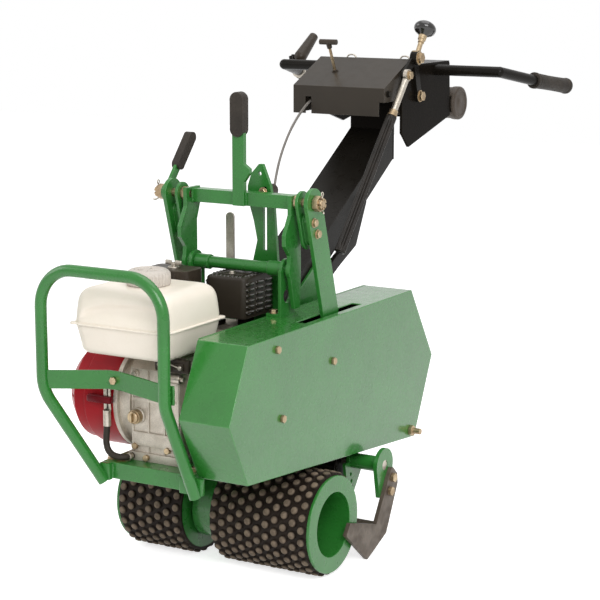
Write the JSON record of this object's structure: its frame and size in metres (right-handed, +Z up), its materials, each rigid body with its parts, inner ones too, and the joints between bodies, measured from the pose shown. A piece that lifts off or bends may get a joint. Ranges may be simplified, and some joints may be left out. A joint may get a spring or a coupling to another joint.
{
  "type": "sod cutter",
  "caption": "Walk-behind sod cutter with knobbed drive drums, a front engine, a belt cover, a swinging blade and a sloped rear handle.",
  "frame": {"origin": "centre of the footprint's bounding box, on the ground", "axes": "+Z up, +Y to the rear along the machine's length towards the operator, +X towards the belt cover"},
  "size_m": [0.6334, 1.1678, 0.9996],
  "materials": {
    "green_paint": "gloss",
    "black_paint": "satin",
    "black_plastic": "matte",
    "black_rubber": "matte",
    "tread_rubber": "matte",
    "steel": "satin",
    "yellow_zinc": "satin",
    "cast_aluminium": "satin",
    "red_paint": "gloss",
    "cream_plastic": "satin",
    "grey_plastic": "matte",
    "dark_steel": "satin"
  },
  "bodies": {
    "chassis": {"engine_deck": "green_paint", "right_side_plate": "green_paint", "left_side_plate": "green_paint", "column_seat": "green_paint", "tube_brackets": "green_paint", "quadrant_plate": "green_paint", "belt_cover": "green_paint", "bumper_hoop": "green_paint", "chain_case": "green_paint", "eccentric_case": "black_paint", "handle_column": "black_paint", "handle_head": "black_paint", "console_box": "black_paint", "handlebar": "black_paint", "muffler": "black_paint", "muffler_guard": "black_paint", "air_cleaner": "black_plastic", "document_tube": "black_plastic", "drain_hose": "black_rubber", "hand_grips": "black_rubber", "drive_belt": "black_rubber", "hanger_shaft": "steel", "drive_chain": "steel", "throttle_cable": "steel", "frame_bolts": "yellow_zinc", "engine_bolts": "yellow_zinc", "crankcase": "cast_aluminium", "cylinder_block": "cast_aluminium", "fan_cover": "red_paint", "starter_cover": "red_paint", "fuel_tank": "cream_plastic"},
    "wheels": {"wheel_axle": "steel", "left_drum": "green_paint", "right_drum": "green_paint", "drum_treads": "tread_rubber"},
    "crank": {"crankshaft": "steel", "engine_pulley": "steel"},
    "input_shaft": {"jackshaft": "steel", "driven_pulley": "steel"},
    "idler": {"idler_arm": "steel", "idler_pulley": "steel"},
    "clutch": {"clutch_lever": "yellow_zinc", "clutch_knob": "black_plastic"},
    "rod": {"clutch_rod": "steel", "rod_sleeve": "black_rubber"},
    "throttle": {"throttle_knob": "black_plastic"},
    "rocker": {"rocker_frame": "green_paint", "lift_grip": "black_rubber", "pivot_bolts": "yellow_zinc"},
    "links": {"lift_links": "green_paint"},
    "blade": {"blade_hangers": "green_paint", "cutting_blade": "dark_steel", "blade_bolts": "yellow_zinc"},
    "lock": {"lock_lever": "green_paint", "lock_grip": "black_rubber"},
    "gear": {"gear_lever": "steel"},
    "hand": {"hand_lever": "black_plastic"},
    "cap": {"fuel_cap": "grey_plastic"},
    "starter": {"starter_grip": "black_plastic"},
    "latch": {"latch_knob": "black_plastic"}
  },
  "joints": [
    {"name": "wheel_spin", "type": "hinge", "parent": "chassis", "child": "wheels", "pos_m": [0, -0.26669, 0.098], "axis": [1, 0, 0], "continuous": true},
    {"name": "engine_spin", "type": "hinge", "parent": "chassis", "child": "crank", "pos_m": [0, -0.39069, 0.332], "axis": [1, 0, 0], "continuous": true},
    {"name": "input_spin", "type": "hinge", "parent": "chassis", "child": "input_shaft", "pos_m": [0, -0.04669, 0.33], "axis": [1, 0, 0], "continuous": true},
    {"name": "clutch_tilt", "type": "hinge", "parent": "chassis", "child": "clutch", "pos_m": [0.113, 0.25331, 0.845], "axis": [-1, 0, 0], "range_deg": [0, 18]},
    {"name": "rod_swing", "type": "hinge", "parent": "clutch", "child": "rod", "pos_m": [0.121, 0.18831, 0.891], "axis": [-1, 0, 0], "range_deg": [-18, 0]},
    {"name": "idler_tilt", "type": "hinge", "parent": "chassis", "child": "idler", "pos_m": [0.101, -0.29669, 0.352], "axis": [1, 0, 0], "range_deg": [0, 4]},
    {"name": "throttle_pull", "type": "slide", "parent": "chassis", "child": "throttle", "axis": [0, -0.4242, 0.9056], "range_m": [-0.04, 0]},
    {"name": "rocker_tilt", "type": "hinge", "parent": "chassis", "child": "rocker", "pos_m": [0, -0.24669, 0.562], "axis": [1, 0, 0], "range_deg": [0, 25]},
    {"name": "link_swing", "type": "hinge", "parent": "rocker", "child": "links", "pos_m": [0, -0.24269, 0.687], "axis": [1, 0, 0], "range_deg": [-25, 0]},
    {"name": "blade_tilt", "type": "hinge", "parent": "chassis", "child": "blade", "pos_m": [0, -0.07269, 0.164], "axis": [1, 0, 0], "range_deg": [0, 22.5]},
    {"name": "lock_tilt", "type": "hinge", "parent": "rocker", "child": "lock", "pos_m": [-0.167, -0.24269, 0.687], "axis": [1, 0, 0], "range_deg": [-15, 20]},
    {"name": "gear_tilt", "type": "hinge", "parent": "chassis", "child": "gear", "pos_m": [-0.085, -0.14769, 0.5], "axis": [0, 1, 0], "range_deg": [-12, 12]},
    {"name": "hand_squeeze", "type": "hinge", "parent": "chassis", "child": "hand", "pos_m": [-0.25256, 0.40191, 0.90668], "axis": [1, 0, 0], "range_deg": [-20, 0], "stiffness_Nm_per_rad": 1},
    {"name": "cap_turn", "type": "hinge", "parent": "chassis", "child": "cap", "pos_m": [-0.06, -0.45669, 0.552], "axis": [0, 0, 1], "range_deg": [0, 90]},
    {"name": "starter_pull", "type": "slide", "parent": "chassis", "child": "starter", "axis": [0, 0.9063, 0.4226], "range_m": [0, 0.4]},
    {"name": "latch_slide", "type": "slide", "parent": "chassis", "child": "latch", "axis": [0, 0, 1], "range_m": [-0.105, 0.004]}
  ],
  "couplings": [
    {"joint": "input_spin", "follows": "wheel_spin", "ratio": 1.8333},
    {"joint": "rod_swing", "follows": "clutch_tilt", "ratio": -1},
    {"joint": "idler_tilt", "follows": "clutch_tilt", "ratio": 0.22222},
    {"joint": "link_swing", "follows": "rocker_tilt", "ratio": -0.99},
    {"joint": "blade_tilt", "follows": "rocker_tilt", "ratio": 0.88}
  ]
}
